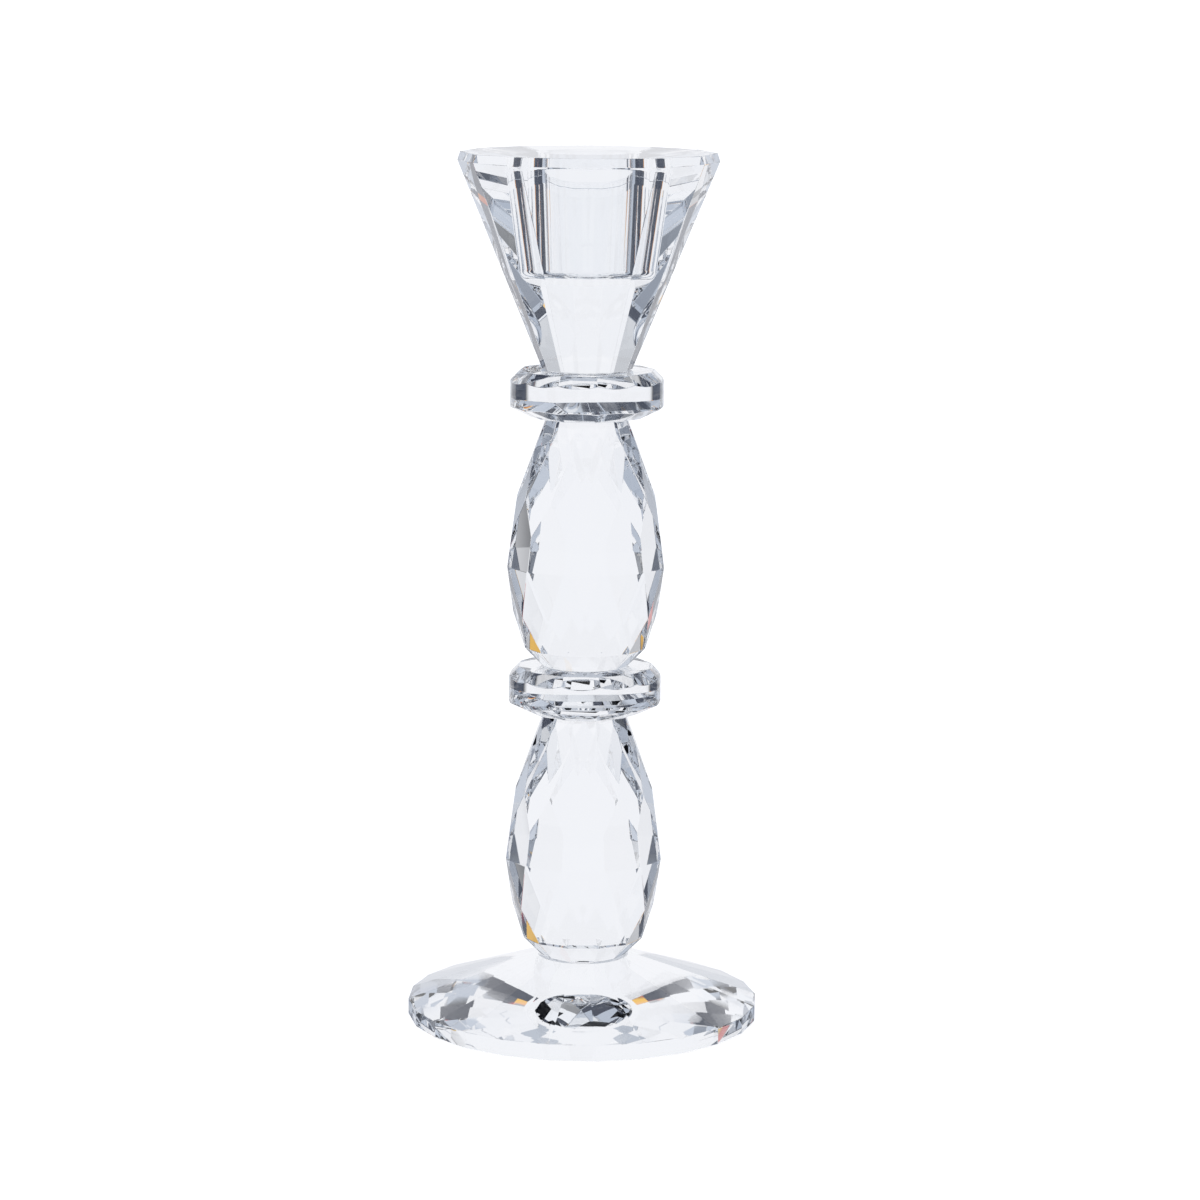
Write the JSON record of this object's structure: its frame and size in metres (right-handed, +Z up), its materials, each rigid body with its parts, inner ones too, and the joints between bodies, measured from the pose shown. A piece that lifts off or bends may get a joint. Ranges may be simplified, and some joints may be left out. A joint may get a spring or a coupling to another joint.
{
  "type": "glass candlestick",
  "caption": "Tall cut-crystal candlestick: a flaring faceted cup with a candle socket over stacked faceted beads and round collars on a broad faceted foot.",
  "frame": {"origin": "centre of the foot's underside, on the surface the candlestick stands on", "axes": "+Z up along the axis of the stack and out of the candle socket; -Y is the front"},
  "size_m": [0.0798, 0.0798, 0.1971],
  "materials": {
    "crystal": "polished, water clear",
    "adhesive": "clear cured adhesive"
  },
  "bodies": {
    "root": {"base": "crystal", "lower_bead": "crystal", "middle_collar": "crystal", "upper_bead": "crystal", "upper_collar": "crystal", "candle_cup": "crystal", "base_glue": "adhesive", "lower_neck_glue": "adhesive", "middle_top_glue": "adhesive", "upper_neck_glue": "adhesive", "cup_glue": "adhesive"}
  },
  "joints": []
}
